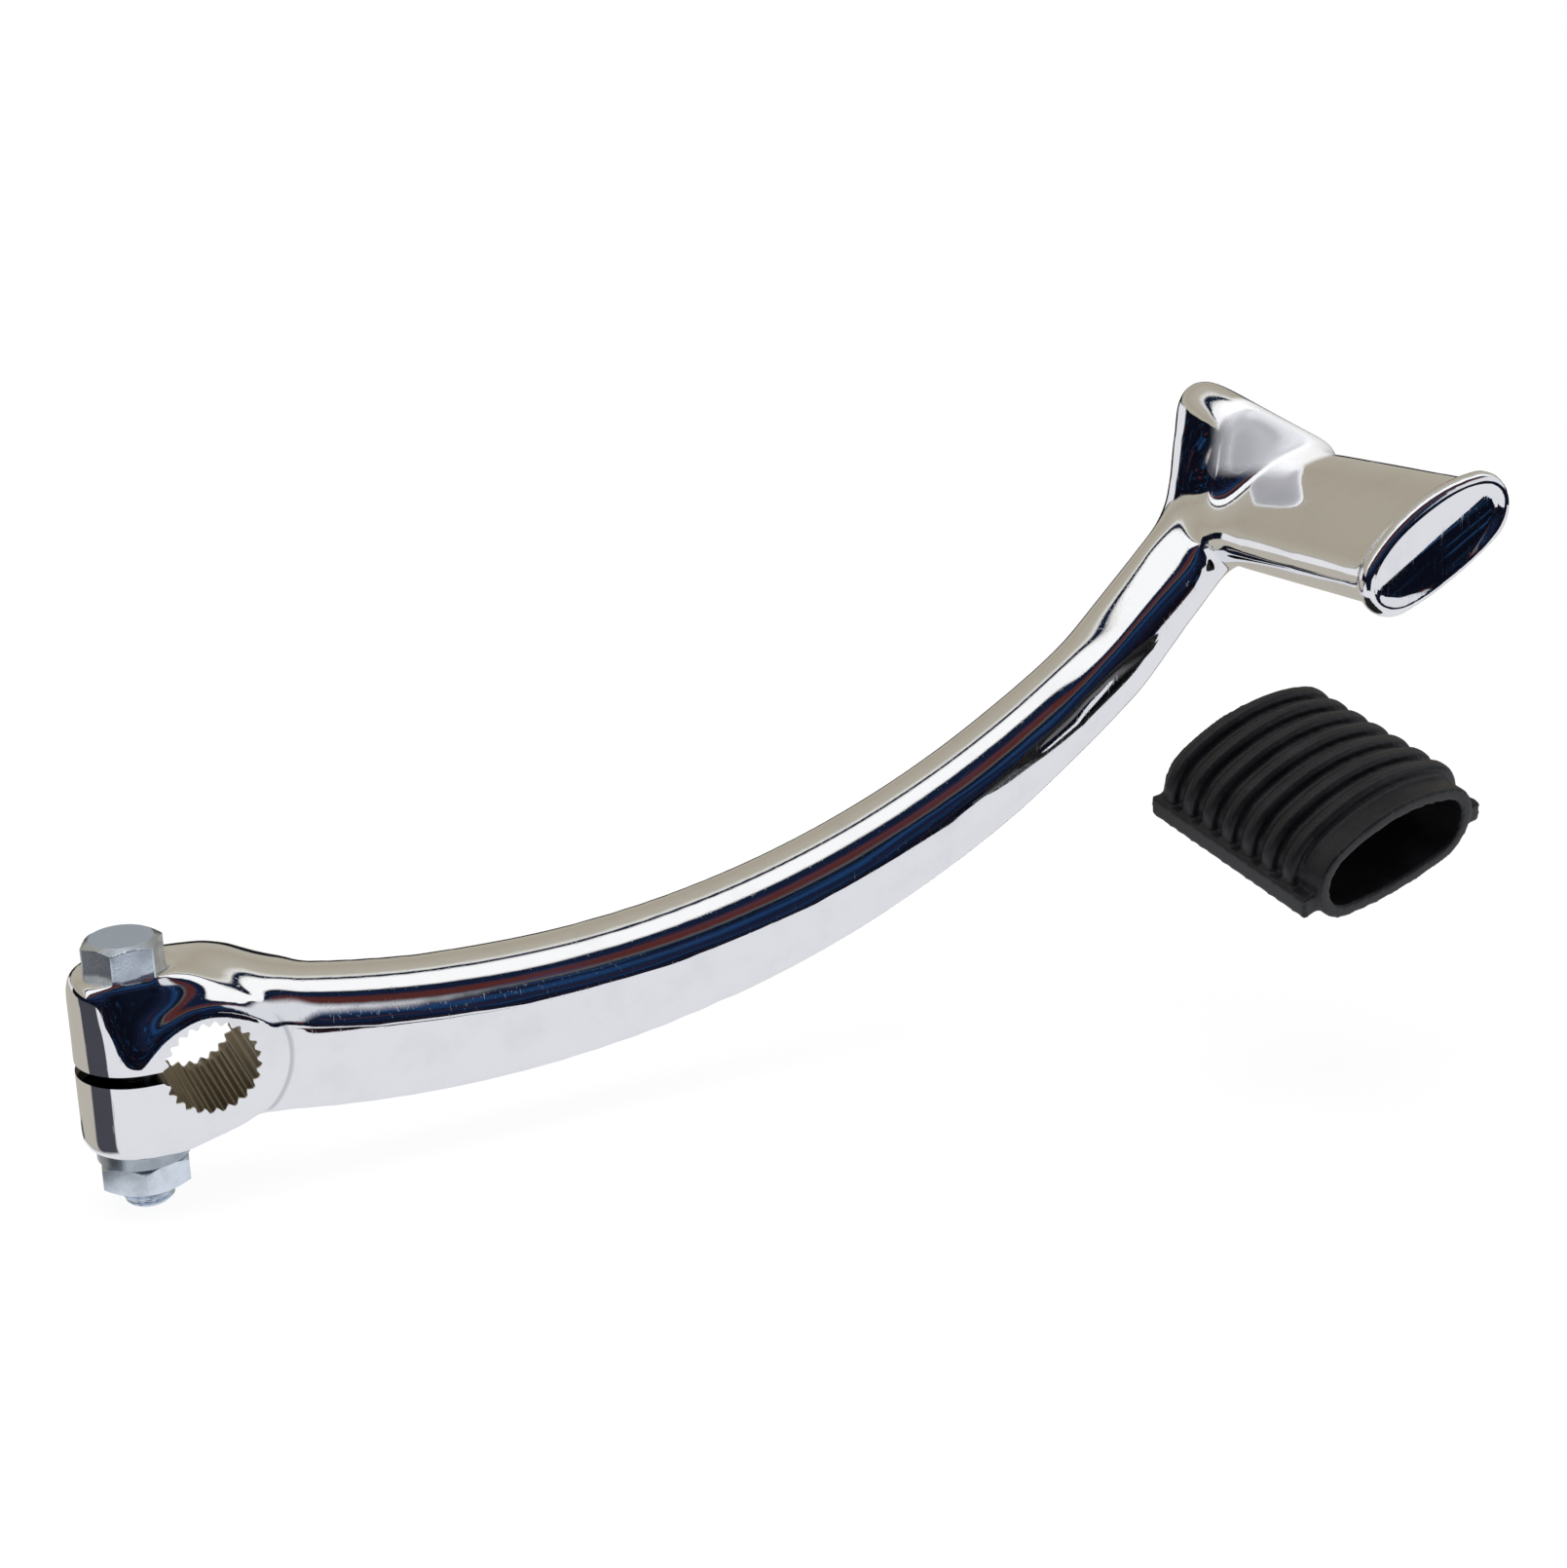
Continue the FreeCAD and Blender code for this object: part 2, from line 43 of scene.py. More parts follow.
# Sizes shared with the solids, in millimetres and degrees
TOOTH_COUNT = 24
TOOTH_TIP = 6.55
GROOVE_DEPTH = 1.05
CLAMP_HALF_WIDTH = 9.4
BOSS_RADIUS = 12.0
FACE_RADIUS = 10.4
LUG_REACH = 18.8
SLIT_WIDTH = 1.8
BOLT_X = -9.9
THREAD_RADIUS = 4.0
SHANK_RADIUS = 3.3
HEAD_FLATS = 11.0
HEAD_SEAT = 14.75
HEAD_HEIGHT = 5.2
HEAD_ANGLE = 5.0
WASHER_SEAT = -13.55
BOLT_END = -23.85
BOLT_POINT = 0.8
ARM_FRONT = -8.8
ARM_LEAN = 1.4
PEDAL_MIDDLE = (196.2, 65.2)
PEDAL_TURN = 30.0
STUB_END = -47.3

# Forms that only the dressed part has, in millimetres and degrees
LEVER_VOXEL = 0.62
RUBBER_VOXEL = 0.36
TOOTH_WEAR = 0.2
GROOVE_FILL = 0.3
SLIT_INTO_BORE = 0.4
THREAD_PITCH = 1.25
THREAD_DEPTH = 0.62
HEAD_CHAMFER = 29.0
HEAD_DISC_SHARE = 0.433
HEAD_CORNER_ROUND = 0.12
LUG_LEAN = 3.0
CROWN_RISE = 1.1
GUARD_LEAN = 6.0
GUARD_FOOT = 66.0
END_HOLLOW = 0.8
END_HALF_HEIGHT = 6.6
END_HALF_WIDTH = 14.2

# Table, and the paper on it that polished metal sees, in millimetres
TABLE_TOP = -24.3
TABLE_THICKNESS = 4.0
TABLE_MIDDLE_X = 90.0
PAPER_BACK = 22.0

# Camera fitted to the photograph: pixels, then a place in millimetres and its three directions
PHOTO_SIDE = 1610
FOCAL_PIXELS = 2500
PIXELS_DOWN = 5
SENSOR_WIDTH = 36.0
CAMERA_PLACE = (-65.443, -347.385, 159.007)
CAMERA_RIGHT = (0.90000, -0.43561, -0.01539)
CAMERA_DOWN = (-0.15467, -0.28614, -0.94562)
CAMERA_FORWARD = (0.40752, 0.85344, -0.32490)


# Shader maths

class Value:
    """A socket in a node tree; arithmetic on it adds Math nodes."""

    def __init__(self, tree, socket):
        self.tree = tree
        self.socket = socket

    def math(self, operation, *others):
        inputs = dict(enumerate((self,) + others))
        return self.tree.add("ShaderNodeMath", {"operation": operation}, inputs).out("Value")

    def __add__(self, other):
        return self.math("ADD", other)

    def __sub__(self, other):
        return self.math("SUBTRACT", other)

    def __rsub__(self, other):
        return self.tree.add("ShaderNodeMath", {"operation": "SUBTRACT"}, {0: other, 1: self}).out("Value")

    def __mul__(self, other):
        return self.math("MULTIPLY", other)

    def __truediv__(self, other):
        return self.math("DIVIDE", other)

    def step(self, low, high):
        """0 below low, 1 above high and smooth between."""
        settings = {"interpolation_type": "SMOOTHSTEP"}
        inputs = {"Value": self, "From Min": low, "From Max": high}
        return self.tree.add("ShaderNodeMapRange", settings, inputs).out("Result")

    def band(self, start, full, fall, end):
        """1 from full to fall, 0 outside start to end and smooth between."""
        return self.step(start, full) * (1.0 - self.step(fall, end))

    def span(self, low, high):
        """The value 0 to 1 stretched to low to high."""
        return self.math("MULTIPLY_ADD", high - low, low)


class Added:
    """One node that was added to a tree."""

    def __init__(self, tree, node):
        self.tree = tree
        self.node = node

    def out(self, name):
        return Value(self.tree, self.node.outputs[name])


class Tree:
    """Nodes of one material or of the world."""

    def __init__(self, node_tree):
        self.nodes = node_tree.nodes
        self.links = node_tree.links
        self.nodes.clear()

    def add(self, kind, settings=None, inputs=None):
        node = self.nodes.new(kind)
        for name, value in (settings or {}).items():
            setattr(node, name, value)
        for name, value in (inputs or {}).items():
            if isinstance(value, Value):
                self.links.new(value.socket, node.inputs[name])
            else:
                node.inputs[name].default_value = value
        return Added(self, node)

    def ramp(self, value, stops):
        """Colours that change along a value, given as places and colours."""
        added = self.add("ShaderNodeValToRGB", None, {"Fac": value})
        elements = added.node.color_ramp.elements
        while len(elements) > 1:
            elements.remove(elements[-1])
        elements[0].position = stops[0][0]
        elements[0].color = (*stops[0][1], 1)
        for place, colour in stops[1:]:
            elements.new(place).color = (*colour, 1)
        return added.out("Color")

    def mix(self, share, first, second):
        """One colour over another."""
        inputs = {0: share, 6: first, 7: second}
        return self.add("ShaderNodeMix", {"data_type": "RGBA"}, inputs).out(2)

    def cover(self, share, first, second):
        """One shader over another."""
        return self.add("ShaderNodeMixShader", None, {0: share, 1: first, 2: second}).out("Shader")

    def glow(self, colour):
        return self.add("ShaderNodeEmission", None, {"Color": colour, "Strength": 1.0}).out("Emission")

    def noise(self, vector, scale, detail=2.0, roughness=0.5, distortion=0.0):
        inputs = {"Vector": vector, "Scale": scale, "Detail": detail,
                  "Roughness": roughness, "Distortion": distortion}
        return self.add("ShaderNodeTexNoise", None, inputs).out("Fac")

    def stretch(self, vector, scale, rotation=(0, 0, 0)):
        inputs = {"Vector": vector, "Rotation": rotation, "Scale": scale}
        return self.add("ShaderNodeMapping", None, inputs).out("Vector")

    def place(self):
        """Position on the object in its own space."""
        return self.add("ShaderNodeTexCoord").out("Object")

    def split(self, vector):
        parts = self.add("ShaderNodeSeparateXYZ", None, {0: vector})
        return [parts.out(axis) for axis in "XYZ"]

    def millimetres(self, place):
        """A position's three parts in millimetres."""
        return [part / MM for part in self.split(place)]

    def bump(self, height, strength, distance):
        inputs = {"Height": height, "Strength": strength, "Distance": distance}
        return self.add("ShaderNodeBump", None, inputs).out("Normal")

    def finish(self, settings):
        shader = self.add("ShaderNodeBsdfPrincipled", None, settings).out("BSDF")
        self.add("ShaderNodeOutputMaterial", None, {"Surface": shader})


# Finishes

def new_material(name):
    material = bpy.data.materials.new(name)
    material.use_nodes = True
    return material, Tree(material.node_tree)


def hairlines(tree, place, angle, scale, low, high):
    """Thin stretched scratches along one direction."""
    drawn_out = tree.stretch(place, (scale, scale * 0.9, scale * 0.06), (0.3, angle, angle))
    return tree.noise(drawn_out, 1.0, 1.0).step(low, high)


def bore_mask(from_axis, depth):
    """1 on the bare steel inside the splined bore."""
    root = TOOTH_TIP + GROOVE_DEPTH
    inside = 1.0 - from_axis.step(root, root + 0.25)
    return inside * (1.0 - depth.step(CLAMP_HALF_WIDTH - 0.5, CLAMP_HALF_WIDTH - 0.25))


def boss_step_painted_shade(from_axis, depth, x):
    """1 along the step where the boss ends beside the arm, where a grey line of painted shade darkens the
    chrome.
    """
    edge = from_axis.band(BOSS_RADIUS - 0.3, BOSS_RADIUS + 0.1, BOSS_RADIUS + 0.3, BOSS_RADIUS + 0.9)
    return edge * x.step(1.0, 5.0) * depth.step(8.0, 8.6)


def slit_painted_shade(x, z):
    """1 on the walls of the clamp's slit, where the chrome is painted near-black as shade."""
    half = SLIT_WIDTH / 2
    between_lugs = 1.0 - z.math("ABSOLUTE").step(half + 0.02, half + 0.1)
    return between_lugs * (1.0 - x.step(-TOOTH_TIP, SLIT_INTO_BORE - TOOTH_TIP))


def guard_front_mask(x, y, z):
    """1 on the guard's front, which is left less polished."""
    return x.step(181.5, 185.0) * y.band(-13.0, -10.5, -3.8, -2.0) * z.step(69.5, 72.5)


def chrome_finish():
    """Polished chrome plate on a forging: slight orange peel, hairline scratches and a dull bloom, with
    painted shade in its slit and along the boss's step.
    """
    material, tree = new_material("polished_chrome")
    place = tree.place()
    x, y, z = tree.millimetres(place)
    from_axis = (x * x + z * z).math("SQRT")
    depth = y.math("ABSOLUTE")
    wave = tree.noise(place, 55.0, 1.5, 0.4)
    peel = tree.noise(place, 420.0, 2.0, 0.5)
    bloom = tree.noise(place, 130.0, 4.0, 0.6)
    spots = tree.noise(place, 1500.0, 1.0, 0.5).step(0.74, 0.8)
    tooth_marks = tree.noise(tree.stretch(place, (900, 60, 900)), 1.0, 2.0)
    scratch = hairlines(tree, place, 0.5, 2600.0, 0.66, 0.72)
    scratch = scratch + hairlines(tree, place, 1.9, 2300.0, 0.67, 0.73)
    bare = bore_mask(from_axis, depth)
    satin = guard_front_mask(x, y, z) * bloom.span(0.8, 1.0)
    steel = tree.mix(tooth_marks, (0.34, 0.29, 0.21, 1), (0.16, 0.135, 0.095, 1))
    colour = tree.mix(bloom.step(0.45, 0.75), (0.93, 0.935, 0.95, 1), (0.88, 0.885, 0.905, 1))
    # painted shade: a darker grey line along the boss's step
    colour = tree.mix(boss_step_painted_shade(from_axis, depth, x) * 0.55, colour, (0.42, 0.43, 0.47, 1))
    # painted shade: the slit's chrome walls coloured near-black
    colour = tree.mix(slit_painted_shade(x, z), colour, (0.03, 0.03, 0.035, 1))
    colour = tree.mix(bare, colour, steel)
    colour = tree.mix(satin, colour, (0.78, 0.785, 0.805, 1))
    rough = bloom.step(0.4, 0.8) * 0.03 + scratch * 0.07 + spots * 0.08 + bare * 0.32 + satin * 0.28 + 0.03
    height = wave * 0.5 + peel * 0.018 - scratch * 0.012
    tree.finish({
        "Base Color": colour,
        "Metallic": 1.0 - satin * 0.62,
        "Roughness": rough,
        "Normal": tree.bump(height, 0.25, 0.0006),
    })
    return material


def zinc_finish(name, tint, seed, disc_top=None):
    """Bright zinc plate: bluish, satin, with faint tool marks and, on a head, a duller top."""
    material, tree = new_material(name)
    place = tree.stretch(tree.place(), (1, 1, 1), (seed, seed * 0.7, 0))
    cloud = tree.noise(place, 240.0, 3.0, 0.6)
    grain = tree.noise(place, 2100.0, 2.0, 0.6)
    marks = tree.noise(tree.stretch(place, (180, 180, 5200)), 1.0, 2.0)
    dull = tuple(channel * 0.74 for channel in tint[:3]) + (1,)
    colour = tree.mix(cloud.step(0.35, 0.7), tint, dull)
    rough = cloud * 0.16 + grain * 0.1 + 0.16
    if disc_top is not None:
        x, y, z = tree.millimetres(tree.place())
        disc = z.step(disc_top - 0.05, disc_top - 0.01)
        pits = tree.noise(place, 900.0, 2.0, 0.6).step(0.68, 0.74)
        slate = tree.mix(pits, (0.66, 0.76, 0.90, 1), (1.0, 1.0, 1.0, 1))
        colour = tree.mix(disc, colour, slate)
        rough = rough + disc * 0.3
    tree.finish({
        "Base Color": colour,
        "Metallic": 1.0,
        "Roughness": rough,
        "Normal": tree.bump(grain * 0.35 + marks * 0.25, 0.2, 0.0002),
    })
    return material


def rubber_finish():
    """Moulded black rubber: semi-matte, with fine grain and a grey bloom of dust."""
    material, tree = new_material("moulded_black_rubber")
    place = tree.place()
    cloud = tree.noise(place, 160.0, 3.0, 0.55)
    grain = tree.noise(place, 3200.0, 2.0, 0.6)
    dust = tree.noise(place, 900.0, 3.0, 0.7).step(0.6, 0.75)
    colour = tree.mix(cloud.step(0.4, 0.75), (0.004, 0.004, 0.005, 1), (0.008, 0.008, 0.0095, 1))
    colour = tree.mix(dust * 0.2, colour, (0.03, 0.03, 0.034, 1))
    tree.finish({
        "Base Color": colour,
        "Roughness": cloud * 0.14 + grain * 0.08 + 0.3,
        "Specular IOR Level": 0.36,
        "Normal": tree.bump(grain * 0.5 + cloud * 0.2, 0.25, 0.0003),
    })
    return material


# Meshes

def link(mesh, name):
    piece = bpy.data.objects.new(name, mesh)
    bpy.context.scene.collection.objects.link(piece)
    return piece


def applied(piece):
    """The piece's mesh with its modifiers applied."""
    graph = bpy.context.evaluated_depsgraph_get()
    graph.update()
    return bpy.data.meshes.new_from_object(piece.evaluated_get(graph))


def drop(piece):
    mesh = piece.data
    bpy.data.objects.remove(piece)
    bpy.data.meshes.remove(mesh)


def prism(name, outline, axis, low, high):
    """Closed mesh between two copies of a flat outline, given as pairs across the axis."""
    count = len(outline)
    points = []
    for depth in (low, high):
        for a, b in outline:
            points.append((a, depth, b) if axis == "Y" else (a, b, depth))
    faces = [tuple(range(count)), tuple(range(2 * count - 1, count - 1, -1))]
    for i in range(count):
        j = (i + 1) % count
        faces.append((j, i, count + i, count + j))
    mesh = bpy.data.meshes.new(name)
    mesh.from_pydata([Vector(point) * MM for point in points], [], faces)
    made = bmesh.new()
    made.from_mesh(mesh)
    bmesh.ops.recalc_face_normals(made, faces=made.faces)
    made.to_mesh(mesh)
    made.free()
    return mesh


def circle(radius, count):
    turns = [2 * math.pi * i / count for i in range(count)]
    return [(radius * math.cos(turn), radius * math.sin(turn)) for turn in turns]


def remesh(piece, voxel):
    """One even skin over all that the piece holds."""
    skin = piece.modifiers.new("skin", "REMESH")
    skin.mode = "VOXEL"
    skin.voxel_size = voxel * MM
    skin.use_smooth_shade = True


def cut_out(piece, mesh):
    """Cut a closed mesh out of the piece."""
    cutter = link(mesh, "cutter")
    cut = piece.modifiers.new("cut", "BOOLEAN")
    cut.operation = "DIFFERENCE"
    cut.solver = "EXACT"
    cut.object = cutter
    result = applied(piece)
    piece.modifiers.remove(cut)
    old = piece.data
    piece.data = result
    bpy.data.meshes.remove(old)
    drop(cutter)


def mesh_arrays(mesh):
    """A mesh of quads as arrays: points in millimetres, edges and quads."""
    points = np.empty(len(mesh.vertices) * 3)
    mesh.vertices.foreach_get("co", points)
    edges = np.empty(len(mesh.edges) * 2, np.int64)
    mesh.edges.foreach_get("vertices", edges)
    corners = np.empty(len(mesh.loops), np.int64)
    mesh.loops.foreach_get("vertex_index", corners)
    return points.reshape(-1, 3) / MM, edges.reshape(-1, 2), corners.reshape(-1, 4)


def vertex_normals(points, quads):
    """Unit normals of the points of a mesh of quads."""
    across = np.cross(points[quads[:, 2]] - points[quads[:, 0]], points[quads[:, 3]] - points[quads[:, 1]])
    normals = np.zeros_like(points)
    for corner in range(4):
        for axis in range(3):
            normals[:, axis] += np.bincount(quads[:, corner], across[:, axis], len(points))
    return normals / np.maximum(np.linalg.norm(normals, axis=1), 1e-12)[:, None]


def relax(points, edges, quads, weight, rounds, fill_only=False):
    """Even out the surface where weight says so; fill_only raises hollows and leaves ridges."""
    count = len(points)
    rounds_per_normal = 5
    ends = np.concatenate([edges[:, 0], edges[:, 1]])
    others = np.concatenate([edges[:, 1], edges[:, 0]])
    near = np.maximum(np.bincount(ends, minlength=count), 1)
    for i in range(rounds):
        if i % rounds_per_normal == 0:
            normals = vertex_normals(points, quads)
        sums = [np.bincount(ends, points[others, axis], count) for axis in range(3)]
        middle = np.stack(sums, 1) / near[:, None]
        move = (middle - points) * weight[:, None]
        if fill_only:
            rise = np.maximum((move * normals).sum(1), 0)
            move = normals * rise[:, None]
        points = points + move
    return points


def ramp_up(values, low, high):
    """0 below low, 1 above high and smooth between."""
    share = np.clip((values - low) / (high - low), 0, 1)
    return share * share * (3 - 2 * share)


def between(values, start, full, fall, end):
    """1 from full to fall, 0 outside start to end and smooth between."""
    return ramp_up(values, start, full) * (1 - ramp_up(values, fall, end))


# Lever

def spline_outline():
    """Bore with round tooth tips and round grooves between them."""
    steps = 14
    points = []
    for i in range(TOOTH_COUNT * steps):
        angle = 2 * math.pi / TOOTH_COUNT * i / steps
        wave = 0.5 - 0.5 * math.cos(angle * TOOTH_COUNT)
        radius = TOOTH_TIP + TOOTH_WEAR + (GROOVE_DEPTH - GROOVE_FILL) * wave
        points.append((radius * math.cos(angle), radius * math.sin(angle)))
    return points


def lug_plan():
    """The lug seen from above, a hair inside its faces."""
    radius = CLAMP_HALF_WIDTH - 0.04
    steps = 48
    turns = [math.pi / 2 + math.pi * i / steps for i in range(steps + 1)]
    middle = CLAMP_HALF_WIDTH - LUG_REACH
    plan = [(middle + radius * math.cos(turn), radius * math.sin(turn)) for turn in turns]
    return plan + [(-TOOTH_TIP, -radius), (-TOOTH_TIP, radius)]


def slit_outline():
    """The slit seen from the front, from outside the lug into the bore."""
    half = SLIT_WIDTH / 2
    outer = -LUG_REACH - 1
    inner = SLIT_INTO_BORE - TOOTH_TIP
    return [(outer, -half), (inner, -half), (inner, half), (outer, half)]


def lean_lug(points):
    """The upper lug's front leans back a little more than the face about the bore."""
    x, y, z = points.T
    lean = np.maximum(z - SLIT_WIDTH / 2, 0) * math.tan(math.radians(LUG_LEAN))
    beside = ramp_up(np.hypot(x, z), FACE_RADIUS - 0.2, FACE_RADIUS + 1.0)
    beside = beside * (1 - ramp_up(x, 3.0, 9.0)) * (1 - ramp_up(y, -6.0, 0.0))
    points[:, 1] += lean * beside
    return points


def lean_guard(points):
    """The guard's front overhangs the stub a little."""
    x, y, z = points.T
    overhang = np.maximum(z - GUARD_FOOT, 0) * math.tan(math.radians(GUARD_LEAN))
    points[:, 1] -= overhang * ramp_up(x, 175.0, 181.0) * between(y, -16.0, -10.0, -1.0, 5.0)
    return points


def crown_boss(points):
    """The boss rises a little behind the bolt head before it falls to the neck."""
    x, y, z = points.T
    along = between(x, -3.5, 1.0, 4.5, 11.0)
    points[:, 2] += CROWN_RISE * along * ramp_up(z, 7.0, 12.0) * ramp_up(y, -6.0, 4.0)
    return points


def dish_end(points):
    """The stub's end face is a little hollow across, inside its bead."""
    turn = math.radians(PEDAL_TURN)
    x = points[:, 0] - PEDAL_MIDDLE[0]
    z = points[:, 2] - PEDAL_MIDDLE[1]
    over = (z * math.cos(turn) - x * math.sin(turn)) / END_HALF_HEIGHT
    across = (x * math.cos(turn) + z * math.sin(turn)) / END_HALF_WIDTH
    inside_bead = 1 - ramp_up(np.hypot(over, across), 0.9, 1.0)
    end_face = points[:, 1] < STUB_END + 0.5
    points[:, 1] += END_HOLLOW * (1 - over ** 2) * inside_bead * end_face
    return points


def lever_stock():
    """The lever's solid with its bore and slit filled, as one even skin."""
    stock = link(nodes["lever_arm"].data.copy(), "stock")
    plug = circle(TOOTH_TIP + GROOVE_DEPTH + 0.3, 64)
    joined = bmesh.new()
    joined.from_mesh(stock.data)
    joined.from_mesh(prism("plug", plug, "Y", -CLAMP_HALF_WIDTH, CLAMP_HALF_WIDTH))
    joined.from_mesh(prism("slit_fill", lug_plan(), "Z", -SLIT_WIDTH, SLIT_WIDTH))
    joined.to_mesh(stock.data)
    joined.free()
    remesh(stock, LEVER_VOXEL)
    mesh = applied(stock)
    drop(stock)
    return mesh


def smooth_forging(points, edges, quads):
    """Fill the hollows between arm, guard and pedal, and soften the clamp except at its bolt seats."""
    # Each mask rises or falls between two places in millimetres
    x, y, z = points.T
    near_bore = 1 - ramp_up(np.hypot(x, z), 12.4, 14.5)
    off_seats = 1 - ramp_up(np.abs(z), 11.5, 12.5) * (1 - ramp_up(np.hypot(x - BOLT_X, y), 8.0, 9.0))
    bead = 1 - ramp_up(y, -43.5, -41.0)
    guard_root = ramp_up(x, 142.0, 156.0) * (1 - bead) * ramp_up(y, -12.0, -7.0)
    saddle = between(x, 6.0, 11.0, 34.0, 46.0) * (1 - near_bore * 0.9) * ramp_up(z, 0.5, 5.0)
    lug = (1 - ramp_up(x, 4.0, 8.0)) * ramp_up(z, 1.5, 3.5) * off_seats
    crown = ramp_up(z, 10.0, 12.0) * (1 - ramp_up(np.abs(x - 4.0), 9.0, 12.0)) * off_seats
    arm_front = ARM_FRONT + x * math.tan(math.radians(ARM_LEAN))
    arm_face = between(x, 112.0, 126.0, 172.0, 184.0) * (1 - ramp_up(np.abs(y - arm_front), 0.7, 1.1))
    whole = off_seats * (1 - 0.6 * bead)

    points = lean_guard(points)
    points = relax(points, edges, quads, 0.8 * guard_root, 90, fill_only=True)
    points = relax(points, edges, quads, 0.8 * saddle, 70, fill_only=True)
    points = relax(points, edges, quads, 0.8 * arm_face, 60)
    points = relax(points, edges, quads, 0.6 * np.maximum(guard_root, 0.9 * saddle), 16)
    points = crown_boss(lean_lug(points))
    points = relax(points, edges, quads, 0.7 * crown, 40)
    points = relax(points, edges, quads, 0.55 * lug, 12)
    points = relax(points, edges, quads, 0.5 * whole, 5)
    return dish_end(points)


def forge_lever():
    """The forging as one smooth skin, with its splined bore and slit cut last."""
    mesh = lever_stock()
    points = smooth_forging(*mesh_arrays(mesh))
    mesh.vertices.foreach_set("co", (points * MM).ravel())
    mesh.update()
    lever = link(mesh, "lever_forging")
    reach = CLAMP_HALF_WIDTH + 2
    cut_out(lever, prism("bore", spline_outline(), "Y", -reach, reach))
    cut_out(lever, prism("slit", slit_outline(), "Y", -reach, reach))
    lever.data.shade_smooth()
    lever.data.set_sharp_from_angle(angle=math.radians(38))
    return lever


# Bolt, nut, washer and rubber

def turned(name, rows, around, radius_at):
    """Closed skin about the bolt's axis: one ring of points for each height in rows."""
    points = []
    for z in rows:
        for k in range(around):
            angle = 2 * math.pi * k / around
            radius = radius_at(angle, z)
            points.append(Vector((BOLT_X + radius * math.cos(angle), radius * math.sin(angle), z)) * MM)
    faces = []
    for i in range(len(rows) - 1):
        for k in range(around):
            a = i * around + k
            b = i * around + (k + 1) % around
            faces.append((a, b, b + around, a + around))
    faces.append(tuple(range(around - 1, -1, -1)))
    faces.append(tuple(range((len(rows) - 1) * around, len(rows) * around)))
    mesh = bpy.data.meshes.new(name)
    mesh.from_pydata(points, [], faces)
    return mesh


def hex_radius(angle):
    """Distance from the bolt's axis to its head's side, with the corners a little rounded."""
    sixth = math.pi / 3
    turn = (angle - math.radians(HEAD_ANGLE + 30) + sixth / 2) % sixth - sixth / 2
    side = HEAD_FLATS / 2 / math.cos(turn)
    corner = HEAD_FLATS / math.sqrt(3) - HEAD_CORNER_ROUND
    return min(side, corner)


def head_radius(angle, z):
    """The hexagon, cut by a cone at its top."""
    below_top = HEAD_SEAT + HEAD_HEIGHT - z
    cone = HEAD_FLATS * HEAD_DISC_SHARE + below_top / math.tan(math.radians(HEAD_CHAMFER))
    return min(hex_radius(angle), cone)


def thread_radius(angle, z):
    """Thread crest and root on one helix, fading out at the chamfered point."""
    turn = (z / THREAD_PITCH - angle / (2 * math.pi)) % 1.0
    wave = abs(2 * turn - 1)
    root = THREAD_DEPTH * min(max((wave - 0.15) / 0.7, 0), 1)
    return min(THREAD_RADIUS - root, THREAD_RADIUS - BOLT_POINT + (z - BOLT_END))


def shank_radius(angle, z):
    return SHANK_RADIUS


def head_rows():
    """Heights of the head's rings, close together at its chamfer."""
    top = HEAD_SEAT + HEAD_HEIGHT
    rows = [HEAD_SEAT, HEAD_SEAT + 0.06] + [HEAD_SEAT + 0.4 + 0.25 * k for k in range(12)]
    rows += [top - 1.4 + 0.1 * k for k in range(14)] + [top - 0.03, top]
    return sorted(set(round(z, 4) for z in rows))


def thread_rows():
    """Heights of the thread's rings."""
    rows_per_turn = 12
    count = int((WASHER_SEAT - BOLT_END) / THREAD_PITCH * rows_per_turn)
    return [BOLT_END + THREAD_PITCH * k / rows_per_turn for k in range(count)] + [WASHER_SEAT]


def cut_bolt():
    """The bolt: chamfered hexagon head, plain shank and a real helical thread."""
    sections = (
        turned("head", head_rows(), 240, head_radius),
        turned("thread", thread_rows(), 72, thread_radius),
        turned("shank", [WASHER_SEAT, 0.0, HEAD_SEAT], 64, shank_radius),
    )
    joined = bmesh.new()
    for section in sections:
        joined.from_mesh(section)
        bpy.data.meshes.remove(section)
    mesh = bpy.data.meshes.new("pinch_bolt_threaded")
    joined.to_mesh(mesh)
    joined.free()
    mesh.shade_smooth()
    mesh.set_sharp_from_angle(angle=math.radians(24))
    return link(mesh, "pinch_bolt_threaded")


def soften(node, width):
    """Rounded edges on a small turned or pressed piece."""
    edge = nodes[node].modifiers.new("edge", "BEVEL")
    edge.width = width * MM
    edge.segments = 2
    edge.limit_method = "ANGLE"
    edge.angle_limit = math.radians(35)
    edge.use_clamp_overlap = True
    edge.harden_normals = False


def mould_rubber():
    """Rubber keeps its solid's form, with every edge rounded as a moulding has it."""
    rubber = nodes["pedal_rubber"]
    remesh(rubber, RUBBER_VOXEL)
    soft = rubber.modifiers.new("soft", "SMOOTH")
    soft.factor = 0.5
    soft.iterations = 4


def dress(piece, material):
    piece.data.materials.clear()
    piece.data.materials.append(material)


def stand_for(piece, node, material):
    """Dress a piece made here and let it stand for its solid."""
    dress(piece, material)
    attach(piece, "root")
    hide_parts(node)


# Studio

